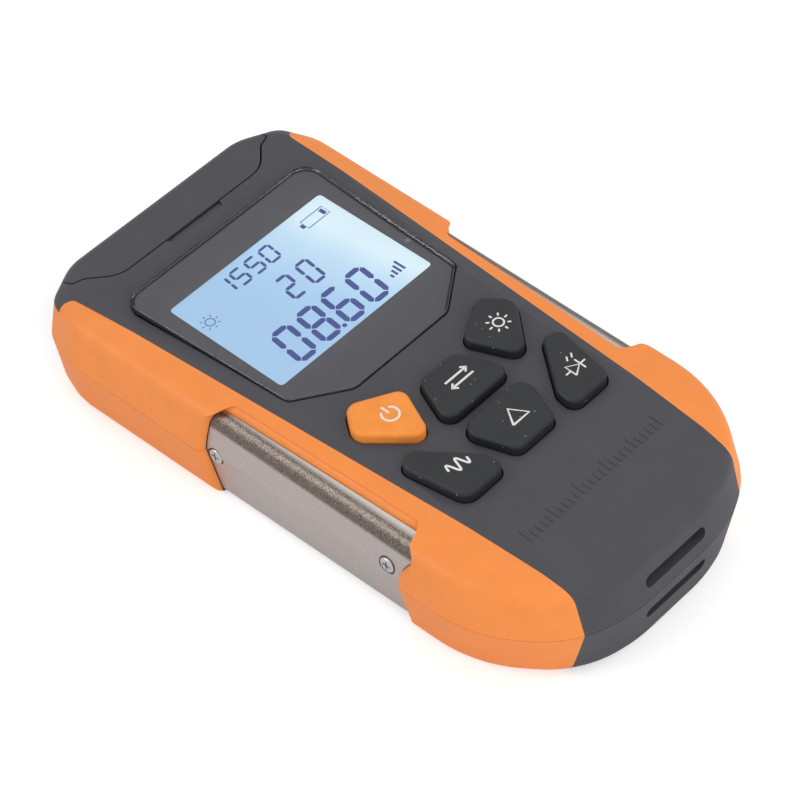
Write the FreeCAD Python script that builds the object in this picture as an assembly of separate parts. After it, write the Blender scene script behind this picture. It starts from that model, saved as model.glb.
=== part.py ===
import FreeCAD, Part
import math
import os
from FreeCAD import Vector

# Handheld optical power meter, lying on its back. Millimetres.
# +X is to the right of the keypad, +Y towards the fibre port, +Z out of the face.
# The origin is the centre of the outline, on the plane of the back.

# ---------------------------------------------------------------- driving sizes
# Housing
split_z = 15.5            # height of the parting line between the two shells
face_top = 29.4           # highest point of the crowned face
crown_radius = 1000.0     # the face is an arc along Y
crown_y = -2.0            # where that arc is highest
front_draft = 0.20        # the front walls lean in by this much per millimetre
shoulder_z = 26.6         # height at which the rounded wall runs into the shoulder
shoulder_lean = 72.0      # angle of the shoulder from the vertical where it starts
edge_round = 3.6          # radius between the walls and the shoulder
back_round = 4.5          # radius round the edge of the back
seam_gap = 0.12           # hairline left between the two halves
shell_wall = 2.0          # wall of both shells
grip_skin = 1.8           # the soft side grips are this thick
ceiling_z = 25.8          # inside of the face
floor_z = 2.0             # inside of the back

# Right half of the outline at the parting line: x, y, corner radius
half_outline_end = [(11.0, -76.4, 36.0), (26.2, -73.4, 26.0)]
half_outline = [(39.0, -55.4, 34.0), (40.2, 61.0, 18.0), (36.5, 71.0, 8.0), (26.0, 76.4, 14.0)]

# Right half of the outline of the back before its edge is rounded, corner for corner
half_foot_end = [(10.2, -74.2, 34.0), (23.2, -71.0, 24.0)]
half_foot = [(36.2, -53.2, 32.0), (38.5, 60.6, 18.0), (35.2, 70.4, 8.0), (25.2, 75.2, 14.0)]

# Right half of the outline that the shoulders run up to, corner for corner, and its height
apex_z = 30.5
half_apex_end = [(6.0, -62.0, 4.0), (13.2, -60.4, 4.0)]
half_apex = [(16.3, -54.0, 3.0), (27.8, 61.0, 3.0), (25.5, 65.0, 2.0), (20.0, 67.0, 4.0)]

# The dark deck of the face ends at a straight line on each side
deck_half = 28.9          # half width of the deck at y = 0
deck_taper = 0.066        # it widens by this much per millimetre towards the port
deck_end = 66.0           # past this the grip leaves the deck and goes round the corner
corner_rim_z = 24.6       # top of the grip where it goes round the corner

# Metal side plates
plate_sink = 2.0          # the plate lies this far inside the wall line
plate_drop = 1.4          # and this far below the shoulder
plate_sheet = 1.2
plate_top_half = 32.75    # half width at its top edge, at y = 0
plate_top_taper = 0.035
plate_gap = 0.15
plate_foot = 1.1          # the plate ends at this height, on the rounded edge of the back
lip_round = 1.9           # the grip's edge rolls down to the plate with this radius
lip_end = 62.0            # the roll ends at this angle and runs on straight
lip_steps = 5
lip_root = 12.0           # the opening runs straight inwards by this much
# Side view of the opening for the plate: y, z, corner radius. It is open at the bottom.
plate_outline = [(18.8, -9.0, 1.0), (20.6, 17.0, 24.0), (19.0, 27.6, 5.0), (-37.6, 27.6, 3.5),
                 (-37.6, 22.0, 2.0), (-34.8, 17.6, 5.0), (-37.0, -9.0, 1.0)]
plate_screw_places = [(18.0, 14.4), (-31.0, 16.8)]

# Small screws, shared by plates, board and port
screw_head_r = 1.9
screw_head_h = 1.0
screw_shank_r = 0.95
screw_play = 0.3
screw_edge = 0.35         # radius round the head
screw_proud = 0.25        # the heads stand this much above the plates
screw_length = 5.0
thread_play = 0.02
screw_cross = (2.3, 0.4, 0.55)   # length, width and depth of the cross in the head
plate_boss = (4.0, 6.0, 4.8)     # block behind each plate screw: X, Y, Z
plate_boss_out = 2.3      # it reaches this far past the plate's top edge

# Display
view_y = 28.0             # centre of the display
view_half = (23.0, 16.85)
lens_top = 29.8
lens_sheet = 2.0
lens_gap = 0.22
lens_edge = 0.5           # radius round its top edge
tape_sheet = 0.2
tape_inset = 0.2
view_play = 0.3           # room round the glass in the face
light_inset = 0.5         # the backlight is smaller than the glass by this much
holder_wall = 1.4
holder_rib = 3.0          # the holder's floor is a frame this wide
half_lens = [(14.2, -1.8, 4.0), (25.6, 6.2, 1.2), (26.1, 7.6, 3.0), (28.4, 54.5, 4.6)]
lcd_margin = (1.0, 1.2)   # the glass is larger than the visible field by this much
lcd_sheet = 2.0
lcd_below_lens = 0.4

# Keys
key_rise = 2.4            # above the face
key_gap = 0.35
key_flange = 1.3
key_flange_h = 1.2
key_seat = 0.3            # from the flange up to the inside of the face
key_stem_r = 2.0
key_stem_play = 0.2
key_travel = 0.8
key_edge = 0.95
keys = {
    "key_power": [(-14.4, -23.8, 2.5), (-8.8, -10.6, 2.5), (-20.0, -4.3, 2.9), (-25.1, -11.3, 3.4)],
    "key_light": [(14.4, -23.8, 2.5), (25.1, -11.3, 3.4), (20.0, -4.3, 2.9), (8.8, -10.6, 2.5)],
    "key_unit": [(-10.3, -23.8, 2.6), (10.3, -23.8, 2.6), (5.4, -11.3, 3.2), (-5.4, -11.3, 3.2)],
    "key_reference": [(-5.7, -39.4, 2.4), (5.7, -39.4, 2.4), (10.4, -26.4, 3.2), (-10.4, -26.4, 3.2)],
    "key_wavelength": [(-22.0, -40.2, 3.2), (-10.2, -40.2, 2.4), (-10.8, -35.0, 3.0),
                       (-20.5, -22.3, 2.6), (-24.7, -24.2, 2.4)],
    "key_led": [(22.0, -40.2, 3.2), (24.7, -24.2, 2.4), (20.5, -22.3, 2.6), (10.8, -35.0, 3.0),
                (10.2, -40.2, 2.4)],
}

# Circuit board and what stands on it
board_top = 21.0
board_sheet = 1.6
mat_sheet = 1.0
dome_r = 3.2
dome_h = 0.6
dome_sheet = 0.15
dome_play = 0.4           # the mat is open round each dome
board_posts = [(23.6, 55.0), (27.2, 3.4), (27.2, -52.5)]
post_r = 2.3
board_screw_length = 4.4
board_head_h = 1.2

# Port bay and its cover
bay_half = 30.4
cover_gap = 0.4
cover_wall = 2.0
cover_half = bay_half - cover_gap
bay_y = 61.7              # back wall of the bay
bay_side_wall = 1.8       # walls of the shells beside the bay
bay_behind_y = 58.4       # inside of the wall behind the bay
panel_sheet = 1.6
panel_half = 29.2
panel_foot = 3.1
panel_play = 0.1
panel_way_half = 27.5     # the wall behind the panel is open by this much each way
hinge_y = 72.4
hinge_z = 4.4
hinge_pin_r = 1.0
knuckle_r = 2.4
knuckle_gap = 0.4
pin_play = 0.03
pin_half = 24.8
hinge_room_r = 3.3        # room for the knuckles in the rear shell
cover_foot_z = 12.0       # the cover's front part ends at this height
bay_floor_z = 1.1
knuckle_spans = [(5.4, 21.6)]
lug_spans = [(-5.0, 5.0), (22.0, 25.0), (-25.0, -22.0)]
port_x = -11.0
port_z = 17.5             # high enough for a straight plug to pass over the open cover
barrel_r = 4.0
barrel_y = (54.4, 71.2)
barrel_key = (2.1, 66.4)  # width of the slot for the plug's key, and where it starts
sleeve_out_r = 1.85
sleeve_r = 1.25
sleeve_y = (55.6, 70.2)
flange_half = 5.7
flange_sheet = 1.6
port_screw_at = ((-4.1, 4.1), (4.1, -4.1))
port_screw_length = 3.0
detector_r = 3.2
block_half = 5.5          # block behind the panel that holds the detector
torch_x = 12.0
torch_z = 15.2
torch_r = 3.2

# Battery bay
cell_r = 7.1
cell_length = 50.0
cell_pitch = 15.0
cell_count = 3
bay_wall = 1.6
tub_play = 0.2
cell_bay_y = (-60.2, -4.8)
cell_bay_top = 17.4
door_sheet = 1.6
door_rise = 0.2           # the door lies this much inside the plane of the back
door_gap = 0.35
door_round = 2.0
tongue_at = 12.0          # the door's two tongues stand this far from its middle
tongue_half = 4.0
tongue_reach = 3.2
tongue_sheet = 1.0
latch_half = 5.0
latch_sheet = 1.2
latch_top = 4.6
finger_grooves = 5
groove_half = 7.0
groove_pitch = 1.6
groove_depth = 0.4
door_pivot_y = 0.0

# Strap bar at the lower end
strap_half = 9.1
strap_face_y = -76.0
strap_wall = 1.6
strap_bar = 2.6           # the bar is this thick
strap_corner = 1.4
strap_slots = [(18.4, 21.5), (8.7, 11.8)]
strap_depth = 9.0

# Screws that hold the shells together
case_screw_places = [(30.6, 50.0), (26.2, -59.6)]
boss_r = 3.2
case_screw_r = 1.25
case_screw_length = 18.0
case_head_r = 2.3
case_sink_r = 2.6
case_sink = 3.0


# ---------------------------------------------------------------- helpers
def mirrored(half):
    """A whole outline, anticlockwise, from its right half listed from -Y to +Y."""
    return half + [(-x, y, r) for x, y, r in reversed(half)]


def moved_in(points, depth):
    """The outline moved inwards by depth, with its corners kept concentric."""
    moved = []
    for i, (x, y, r) in enumerate(points):
        before = points[i - 1]
        after = points[(i + 1) % len(points)]
        a = Vector(x - before[0], y - before[1], 0).normalize()
        b = Vector(after[0] - x, after[1] - y, 0).normalize()
        shift = depth / (1 + a.dot(b))
        turn = a.x * b.y - a.y * b.x
        radius = r - depth if turn > 0 else r + depth
        moved.append((x - (a.y + b.y) * shift, y + (a.x + b.x) * shift, max(radius, 0.1)))
    return moved


def ring(points, place):
    """Closed wire with a rounded corner at each (u, v, radius); place maps u, v to a Vector."""
    corners = []
    for i, (u, v, r) in enumerate(points):
        here = Vector(u, v, 0)
        back = Vector(*points[i - 1][:2], 0) - here
        ahead = Vector(*points[(i + 1) % len(points)][:2], 0) - here
        back.normalize()
        ahead.normalize()
        half = back.getAngle(ahead) / 2
        inward = (back + ahead).normalize()
        cut = r / math.tan(half)
        corners.append([here + back * cut, here + inward * (r / math.sin(half) - r), here + ahead * cut])
    corners = [[place(p.x, p.y) for p in corner] for corner in corners]
    edges = []
    for i, (start, middle, end) in enumerate(corners):
        edges.append(Part.Arc(start, middle, end).toShape())
        following = corners[(i + 1) % len(corners)][0]
        edges.append(Part.makeLine(end, following))
    return Part.Wire(edges)


def level(points, z):
    return ring(points, lambda x, y: Vector(x, y, z))


def upright(points, x):
    return ring(points, lambda y, z: Vector(x, y, z))


def prism(points, z0, z1):
    return Part.Face(level(points, z0)).extrude(Vector(0, 0, z1 - z0))


def box(x0, x1, y0, y1, z0, z1):
    return Part.makeBox(x1 - x0, y1 - y0, z1 - z0, Vector(x0, y0, z0))


def rod(r, start, axis, length):
    return Part.makeCylinder(r, length, Vector(*start), Vector(*axis))


def flipped(shape):
    """The same shape on the other side of the object."""
    return shape.mirror(Vector(0, 0, 0), Vector(1, 0, 0))


def save(name, shape):
    shape = shape.removeSplitter() if len(shape.Solids) == 1 else shape
    solids = shape.Solids
    assert solids and all(s.isValid() for s in solids), name
    out = solids[0] if len(solids) == 1 else Part.makeCompound(solids)
    out.exportStep("parts/" + name + ".step")
    b = out.BoundBox
    print("%-20s %d solid(s) %9.1f mm3  x %.1f..%.1f  y %.1f..%.1f  z %.1f..%.1f" % (
        name, len(solids), out.Volume, b.XMin, b.XMax, b.YMin, b.YMax, b.ZMin, b.ZMax))


# ---------------------------------------------------------------- outer form
outline = mirrored(half_outline_end + half_outline)
foot = mirrored(half_foot_end + half_foot)
apex = mirrored(half_apex_end + half_apex)
bend_levels = 5
reach = 100.0


def crown_z(y):
    return face_top - crown_radius + math.sqrt(crown_radius ** 2 - (y - crown_y) ** 2)


def deck_x(y):
    return deck_half + deck_taper * y


def side_x(half, y):
    """Half width of an outline along its straight side."""
    (x0, y0, _), (x1, y1, _) = half[0], half[1]
    return x0 + (x1 - x0) * (y - y0) / (y1 - y0)


def wall_x(y, z):
    """Half width of the straight side wall at a height."""
    middle = side_x(half_outline, y)
    if z > split_z:
        return middle - front_draft * (z - split_z)
    return middle + (side_x(half_foot, y) - middle) * (split_z - z) / split_z


def crowned(lower):
    """Everything under the face, lowered by the given amount."""
    ends = [Vector(0, y, crown_z(y) - lower) for y in (-reach, crown_y, reach)]
    base = [Vector(0, y, -reach) for y in (reach, -reach)]
    wire = Part.Wire([Part.Arc(*ends).toShape(), Part.makeLine(ends[2], base[0]),
                      Part.makeLine(base[0], base[1]), Part.makeLine(base[1], ends[0])])
    return Part.Face(wire).extrude(Vector(2 * reach, 0, 0)).translate(Vector(-reach, 0, 0))


def front_form(depth=0.0, drop=0.0, lower=0.0):
    """Upper half of the body: leaning walls, rounded shoulders and crowned face."""
    start = math.atan(front_draft)
    end = math.radians(shoulder_lean)
    base_z = shoulder_z - drop - edge_round * (math.sin(end) - math.sin(start))
    base_in = depth + front_draft * (base_z - split_z)
    bend = []
    for i in range(bend_levels + 1):
        turn = start + (end - start) * i / bend_levels
        inwards = base_in + edge_round * (math.cos(start) - math.cos(turn))
        height = base_z + edge_round * (math.sin(turn) - math.sin(start))
        bend.append(level(moved_in(outline, inwards), height))
    walls = Part.makeLoft([level(moved_in(outline, depth), split_z), bend[0]], True, True)
    shoulder = Part.makeLoft(bend, True, False)
    roof = Part.makeLoft([bend[-1], level(moved_in(apex, depth), apex_z - drop)], True, True)
    return walls.fuse([shoulder, roof]).common(crowned(lower))


def rear_sharp(depth=0.0):
    """Lower half of the body, from the back up to the parting line, with a sharp edge at the back."""
    return Part.makeLoft([level(moved_in(foot, depth), 0), level(moved_in(outline, depth), split_z)],
                         True, True)


def rear_form(depth=0.0):
    """Lower half of the body with a round edge at the back, which shrinks as the form moves in."""
    form = rear_sharp(depth)
    edges = [e for e in form.Edges if e.BoundBox.ZMax < 0.01]
    return form.makeFillet(max(back_round - depth, 0.5), edges)


front_outer = front_form()
rear_outer = rear_form()
whole_outer = front_outer.fuse(rear_outer)
FAR = 60.0


# ---------------------------------------------------------------- side plates
def along(points, x0, x1):
    """Solid with the given side view between two places along X."""
    return Part.Face(upright(points, x0)).extrude(Vector(x1 - x0, 0, 0))


def lip_section(radius):
    """How far the lip has drawn back at each height above its root, as (height, back) pairs."""
    section = []
    for i in range(lip_steps + 1):
        turn = math.radians(lip_end) * i / lip_steps
        section.append((radius * math.sin(turn), radius * (1 - math.cos(turn))))
    height, back = section[-1]
    return section + [(height + radius, back + radius * math.tan(math.radians(lip_end)))]


def side_lip(points, lean):
    """Opening that widens outwards by the lip's section. Its levels lean as the wall does."""
    wires = []
    for height, back in [(-lip_root, 0)] + lip_section(lip_round):
        wires.append(ring(moved_in(points, -back), lambda y, z: Vector(
            side_x(half_outline, y) - lean * (z - split_z) - lip_round + height, y, z)))
    return Part.makeLoft(wires, True, True)


def beyond_top_edge(gap, rolled):
    """Region outside the plate's top edge, less a gap, with the lip's roll above it if wanted."""
    wires = []
    for y in (-FAR, FAR):
        x = plate_top_half + plate_top_taper * y + gap
        section = lip_section(plate_drop) if rolled else []
        roll = [(x - back, shoulder_z - plate_drop / 2 + height) for height, back in section]
        roll = roll or [(x, shoulder_z)]
        spots = [(x, -FAR)] + roll + [(roll[-1][0], FAR), (FAR, FAR), (FAR, -FAR)]
        places = [Vector(u, y, z) for u, z in spots]
        wires.append(Part.makePolygon(places + [places[0]]))
    return Part.makeLoft(wires, True, True)


plate_front = front_form(plate_sink, plate_drop)
plate_core = front_form(plate_sink + plate_sheet, plate_drop + plate_sheet).fuse(
    rear_form(plate_sink + plate_sheet))
plate_skin = plate_front.fuse(rear_form(plate_sink)).cut(plate_core)
plate_blank = along(moved_in(plate_outline, plate_gap), 20.0, FAR).common(beyond_top_edge(plate_gap, False))
plate_blank = plate_blank.common(box(0, FAR, -FAR, FAR, plate_foot, FAR))
side_plate = plate_skin.common(plate_blank)
plate_pocket = along(plate_outline, 20.0, FAR).common(beyond_top_edge(0.0, False)).cut(plate_core)
rear_lean = (side_x(half_foot, 0) - side_x(half_outline, 0)) / split_z
front_window, rear_window = [
    side_lip(plate_outline, lean).common(beyond_top_edge(0.0, True))
    for lean in (front_draft, rear_lean)]

wall_in_x = plate_top_half + plate_boss_out


def plate_face(y, z):
    """Half width of the plate's outer face at a point on its flat side."""
    return wall_x(y, z) - plate_sink


plate_screws = []
plate_screw_cuts = []
for y, z in plate_screw_places:
    face = plate_face(y, z)
    head = rod(screw_head_r, (face - screw_head_h + screw_proud, y, z), (1, 0, 0), screw_head_h)
    head = head.makeFillet(screw_edge, [e for e in head.Edges if e.BoundBox.XMin > face])
    length, width, depth = screw_cross
    for half_y, half_z in ((length / 2, width / 2), (width / 2, length / 2)):
        head = head.cut(box(face + screw_proud - depth, FAR, y - half_y, y + half_y, z - half_z, z + half_z))
    shank = rod(screw_shank_r, (face - screw_length, y, z), (1, 0, 0), screw_length - 0.5)
    plate_screws.append(head.fuse(shank))
    seat = rod(screw_head_r + screw_play, (face - screw_head_h + screw_proud, y, z), (1, 0, 0), 9)
    hole = rod(screw_shank_r + thread_play, (face - screw_length - screw_play, y, z), (1, 0, 0), 12)
    side_plate = side_plate.cut([seat, hole])
    plate_screw_cuts += [seat, hole, flipped(seat), flipped(hole)]


def plate_screw_bosses():
    deep, wide, high = plate_boss
    return [box(wall_in_x - deep, wall_in_x, y - wide / 2, y + wide / 2, z - high / 2, z + high / 2)
            for y, z in plate_screw_places]


# ---------------------------------------------------------------- side grips
def grip_region(inner_x):
    """Plan region of the right grip: beside the deck, and round the corner under the rim."""
    low, high = -FAR * 2, deck_end
    beside = [(deck_x(low), low, 0.1), (FAR * 2, low, 0.1), (FAR * 2, high, 0.1), (deck_x(high), high, 3.0)]
    round_corner = box(inner_x, FAR * 2, high - 6, FAR * 2, -5, corner_rim_z)
    return prism(beside, -5, FAR).fuse(round_corner)


corner_x = bay_half + 0.7
region = grip_region(corner_x)
half_gap = seam_gap / 2
upper_half = box(-FAR, FAR, -2 * FAR, 2 * FAR, split_z + half_gap, FAR)
lower_half = box(-FAR, FAR, -2 * FAR, 2 * FAR, -5, split_z - half_gap)
front_core = front_form(grip_skin, grip_skin)
rear_core = rear_sharp(grip_skin)
front_skin = front_outer.cut(front_core).common(region)
grip_front = front_skin.cut(front_window).common(upper_half)
rear_skin = rear_outer.cut(rear_core).common(region)
grip_rear = rear_skin.cut(rear_window).common(lower_half)

# ---------------------------------------------------------------- port cover
cover_plan = [(-21.5, 62.0, 7.0), (21.5, 62.0, 7.0), (27.0, 67.6, 3.0), (cover_half, 68.6, 0.8),
              (cover_half, 90.0, 1.0), (-cover_half, 90.0, 1.0), (-cover_half, 68.6, 0.8), (-27.0, 67.6, 3.0)]
cover_zone = prism(cover_plan, -5, FAR)
bay_zone = prism(moved_in(cover_plan, -cover_gap), 0, FAR)


def hinge_rod(r, x0, x1):
    return rod(r, (x0, hinge_y, hinge_z), (1, 0, 0), x1 - x0)


hollow = front_form(cover_wall, cover_wall, cover_wall).fuse(rear_form(cover_wall))
hollow = hollow.common(box(-cover_half + cover_wall, cover_half - cover_wall, 0, FAR * 2, -5, FAR).fuse(
    box(-FAR, FAR, 0, hinge_y - 2.6, -5, FAR)))
cover = whole_outer.common(cover_zone).cut(hollow)
cover = cover.cut(box(-FAR, FAR, 0, FAR * 2, -5, hinge_z))
cover = cover.cut(box(-FAR, FAR, 0, hinge_y, -5, cover_foot_z))
for x0, x1 in knuckle_spans:
    for knuckle in (hinge_rod(knuckle_r, x0, x1), hinge_rod(knuckle_r, -x1, -x0)):
        web = box(knuckle.BoundBox.XMin, knuckle.BoundBox.XMax, hinge_y, hinge_y + 2.0, hinge_z, hinge_z + 4)
        cover = cover.fuse([knuckle, web])
for x0, x1 in lug_spans:
    cover = cover.cut(hinge_rod(knuckle_r + knuckle_gap, x0 - knuckle_gap, x1 + knuckle_gap))
cover = cover.cut(hinge_rod(hinge_pin_r + pin_play, -FAR, FAR))
hinge_pin = hinge_rod(hinge_pin_r, -pin_half, pin_half)

# ---------------------------------------------------------------- shells
def cavity(form, narrow_form, z0, z1):
    """Inside of a shell between two heights: narrower beside the plates, less the bay walls."""
    room = form.common(box(-FAR, FAR, -2 * FAR, 2 * FAR, z0, z1))
    side = box(0, FAR, -40.0, 23.0, -5, FAR).cut(narrow_form)
    bay_x = bay_half + bay_side_wall
    bay_block = box(-bay_x, bay_x, bay_behind_y, FAR * 2, -5, FAR)
    strap_x = strap_half + strap_wall
    strap_block = box(-strap_x, strap_x, -FAR * 2, strap_face_y + strap_depth + strap_wall, -5, FAR)
    room = room.cut([side, flipped(side), bay_block, strap_block])
    return room.fuse(box(-panel_way_half, panel_way_half, 50.0, bay_y, z0, z1))


inner_depth = grip_skin + shell_wall
narrow_depth = plate_sink + plate_sheet + shell_wall
front_cavity = cavity(front_form(inner_depth, inner_depth), front_form(narrow_depth, inner_depth + 1.0),
                      split_z, ceiling_z)
rear_cavity = cavity(rear_form(inner_depth), rear_form(narrow_depth), floor_z, split_z)

port_panel = box(-panel_half, panel_half, bay_y - panel_sheet, bay_y, panel_foot, ceiling_z)
panel_zone = box(-panel_half - panel_play, panel_half + panel_play, bay_y - panel_sheet - panel_play,
                 bay_y + 0.01, panel_foot - panel_play, ceiling_z + panel_play)
strap_room = box(-strap_half, strap_half, strap_face_y + strap_bar, strap_face_y + strap_depth,
                 strap_slots[1][0], strap_slots[0][1])
strap_ways = []
for z0, z1 in strap_slots:
    slot = box(-strap_half, strap_half, -80.0, -72.0, z0, z1)
    strap_ways.append(slot.makeFillet(strap_corner, [e for e in slot.Edges if e.BoundBox.YLength > 7]))

board_z = board_top - board_sheet
lens_zone = mirrored(half_lens)
lens_floor = lens_top - lens_sheet - tape_sheet
lens_pocket = prism(lens_zone, lens_floor, FAR)
window_half = (view_half[0] + lcd_margin[0], view_half[1] + lcd_margin[1])
lcd_top = lens_top - lens_sheet - lcd_below_lens


def view_block(extra, z0, z1):
    x, y = window_half[0] + extra, window_half[1] + extra
    return box(-x, x, view_y - y, view_y + y, z0, z1)


display_window = prism(moved_in(lens_zone, lens_gap), lens_top - lens_sheet, lens_top)
display_window = display_window.makeFillet(lens_edge, [e for e in display_window.Edges
                                                       if e.BoundBox.ZMin > lens_top - 0.01])
window_tape = prism(moved_in(lens_zone, lens_gap + tape_inset), lens_floor, lens_floor + tape_sheet)
window_tape = window_tape.cut(view_block(view_play, 0, FAR))
lcd_panel = view_block(0, lcd_top - lcd_sheet, lcd_top)
light_top = lcd_top - lcd_sheet
light_foot = board_top + 0.6
backlight = view_block(-light_inset, light_foot, light_top)
lcd_holder = view_block(holder_wall, board_top, ceiling_z - panel_play).cut(
    [view_block(-light_inset, light_foot, FAR), view_block(0, light_top, FAR),
     view_block(-holder_rib, 0, FAR)])

# The walls round the cells, and the room the front shell leaves for them
bay_x = cell_count * cell_pitch / 2 + 0.4
y0, y1 = cell_bay_y
tub_x = bay_x + bay_wall
tub = box(-tub_x, tub_x, y0 - bay_wall, y1 + bay_wall, 1.0, cell_bay_top + bay_wall)
tub_room = box(-tub_x - tub_play, tub_x + tub_play, y0 - bay_wall - tub_play, y1 + bay_wall + tub_play,
               1.0, cell_bay_top + bay_wall + tub_play)

# front shell
front_shell = front_outer.cut([front_cavity, front_skin, flipped(front_skin)])
front_shell = front_shell.cut([plate_pocket, flipped(plate_pocket)])
for x, y in case_screw_places:
    for side in (1, -1):
        boss = rod(boss_r, (side * x, y, split_z), (0, 0, 1), ceiling_z - split_z + 0.5)
        front_shell = front_shell.fuse(boss.common(front_core))
for x, y in board_posts:
    for side in (1, -1):
        post = rod(post_r, (side * x, y, board_top), (0, 0, 1), ceiling_z - board_top + 0.5)
        front_shell = front_shell.fuse(post.common(front_core))
front_bosses = [b.common(upper_half) for b in plate_screw_bosses()]
front_shell = front_shell.fuse(front_bosses + [flipped(b) for b in front_bosses])
for x, y in case_screw_places:
    for side in (1, -1):
        front_shell = front_shell.cut(rod(case_screw_r, (side * x, y, split_z - 1), (0, 0, 1), 8.0))
for x, y in board_posts:
    for side in (1, -1):
        thread = rod(screw_shank_r + thread_play, (side * x, y, board_top - 1), (0, 0, 1), 4.5)
        front_shell = front_shell.cut(thread)
front_shell = front_shell.cut([bay_zone, panel_zone, strap_room, lens_pocket, view_block(view_play, 0, FAR),
                               view_block(holder_wall + view_play, 0, ceiling_z)] + strap_ways)
front_shell = front_shell.cut(plate_screw_cuts + [tub_room])
notch = ring([(-7.4, 60.0, 1.0), (8.0, 60.0, 1.0), (8.8, 63.5, 0.2), (-8.2, 63.5, 0.2)],
             lambda x, y: Vector(x, y, ceiling_z + 1.0))
front_shell = front_shell.cut(Part.Face(notch).extrude(Vector(0, 0, 5)))
front_shell = front_shell.common(upper_half)

# keys
key_base_z = ceiling_z - key_seat
key_shapes = {}
for name, corners in keys.items():
    hole = prism(moved_in(corners, -key_gap), split_z, FAR)
    flange_room = prism(moved_in(corners, -key_flange - key_gap), split_z, ceiling_z)
    front_shell = front_shell.cut([hole, flange_room])
    cap = prism(corners, key_base_z - 0.2, FAR).common(crowned(-key_rise))
    tops = [e for e in cap.Edges if e.BoundBox.ZMin > ceiling_z + 2]
    cap = cap.makeFillet(key_edge, tops)
    flange = prism(moved_in(corners, -key_flange), key_base_z - key_flange_h, key_base_z)
    mid = cap.Solids[0].CenterOfMass
    stem_z = board_top + dome_h + key_travel + key_stem_play
    stem = rod(key_stem_r, (mid.x, mid.y, stem_z), (0, 0, 1), key_base_z - stem_z)
    key_shapes[name] = (cap.fuse([flange, stem]), mid)

# rear shell
rear_shell = rear_outer.cut([rear_cavity, rear_skin, flipped(rear_skin)])
rear_shell = rear_shell.cut([plate_pocket, flipped(plate_pocket)])
tongue_hood = box(-tub_x, tub_x, y1, door_pivot_y + 7.0, 1.0, 7.0)
rear_shell = rear_shell.common(lower_half)
rear_bosses = [b.common(lower_half) for b in plate_screw_bosses()]
rear_shell = rear_shell.fuse([tub, tongue_hood] + rear_bosses + [flipped(b) for b in rear_bosses])
for x, y in case_screw_places:
    for side in (1, -1):
        boss = rod(boss_r + 0.6, (side * x, y, 1.0), (0, 0, 1), split_z - half_gap - 1.0)
        rear_shell = rear_shell.fuse(boss.common(rear_core))
        rear_shell = rear_shell.cut([rod(case_sink_r, (side * x, y, -1), (0, 0, 1), case_sink + 1),
                                     rod(case_screw_r + 0.15, (side * x, y, 0), (0, 0, 1), 20)])
door_end = door_pivot_y + door_sheet / 2 + door_gap
rear_shell = rear_shell.cut([box(-bay_x, bay_x, y0, y1, -1, cell_bay_top),
                             box(-bay_x + 1, bay_x - 1, y1 - 1, door_pivot_y + 5.4, floor_z, 5.4),
                             box(-bay_x, bay_x, y0, door_end, -1, floor_z + 0.01)])
rear_bay = bay_zone.common(box(-FAR, FAR, 0, FAR * 2, floor_z, FAR))
rear_shell = rear_shell.cut([rear_bay, panel_zone, strap_room] + strap_ways)
rear_shell = rear_shell.cut([box(-bay_half, bay_half, hinge_y, FAR * 2, bay_floor_z, FAR),
                             hinge_rod(hinge_room_r, -bay_half, bay_half)])
for x0, x1 in lug_spans:
    lug = hinge_rod(knuckle_r, x0, x1).fuse(box(x0, x1, hinge_y - 5, hinge_y, 1.0, hinge_z + 1.2))
    rear_shell = rear_shell.fuse(lug)
rear_shell = rear_shell.cut(hinge_rod(hinge_pin_r + 0.01, -26.0, 26.0))
rear_shell = rear_shell.cut(plate_screw_cuts)

# battery door
door_x = bay_x - door_gap
door_low = y0 + door_gap
door_z = door_rise + door_sheet / 2
door = box(-door_x, door_x, door_low, door_pivot_y, door_rise, door_rise + door_sheet)
door = door.makeFillet(door_round, [e for e in door.Edges
                                    if e.BoundBox.ZLength > 1 and e.BoundBox.YMax < y0 + 2])
door = door.fuse(rod(door_sheet / 2, (-door_x, door_pivot_y, door_z), (1, 0, 0), 2 * door_x))
tongue_z = floor_z + 0.15
for x in (-tongue_at, tongue_at):
    x0, x1 = x - tongue_half, x + tongue_half
    arm = box(x0, x1, door_pivot_y - 1.0, door_pivot_y + tongue_reach, tongue_z, tongue_z + tongue_sheet)
    heel = box(x0, x1, door_pivot_y - 1.0, door_pivot_y + 0.6, door_z, tongue_z + tongue_sheet / 2)
    door = door.fuse([arm, heel])
latch = box(-latch_half, latch_half, door_low, door_low + latch_sheet, door_z, latch_top)
door = door.fuse(latch)
for i in range(finger_grooves):
    low = door_low + 4.0 + groove_pitch * i
    groove = box(-groove_half, groove_half, low, low + groove_pitch / 2, -1, door_rise + groove_depth)
    door = door.cut(groove)

# ---------------------------------------------------------------- board, switches and display parts
board_plan = mirrored([(21.0, -62.0, 1.0), (21.0, -56.4, 0.5), (29.8, -55.0, 1.0),
                       (29.8, 44.6, 1.0), (26.0, 46.0, 1.0), (26.0, 57.5, 1.0)])
main_board = prism(board_plan, board_z, board_top)
mat = prism(mirrored([(28.0, -45.0, 3.0), (28.0, -3.0, 3.0)]), board_top, board_top + mat_sheet)
domes = []
for shape, mid in key_shapes.values():
    mat = mat.cut(rod(dome_r + dome_play, (mid.x, mid.y, board_top - 1), (0, 0, 1), 4))
    ball_r = (dome_r ** 2 + dome_h ** 2) / (2 * dome_h)
    ball = Part.makeSphere(ball_r, Vector(mid.x, mid.y, board_top + dome_h - ball_r))
    inner = Part.makeSphere(ball_r - dome_sheet, Vector(mid.x, mid.y, board_top + dome_h - ball_r))
    domes.append(ball.cut(inner).common(box(-FAR, FAR, -FAR, FAR, board_top, board_top + 2)))
board_screws = []
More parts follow.
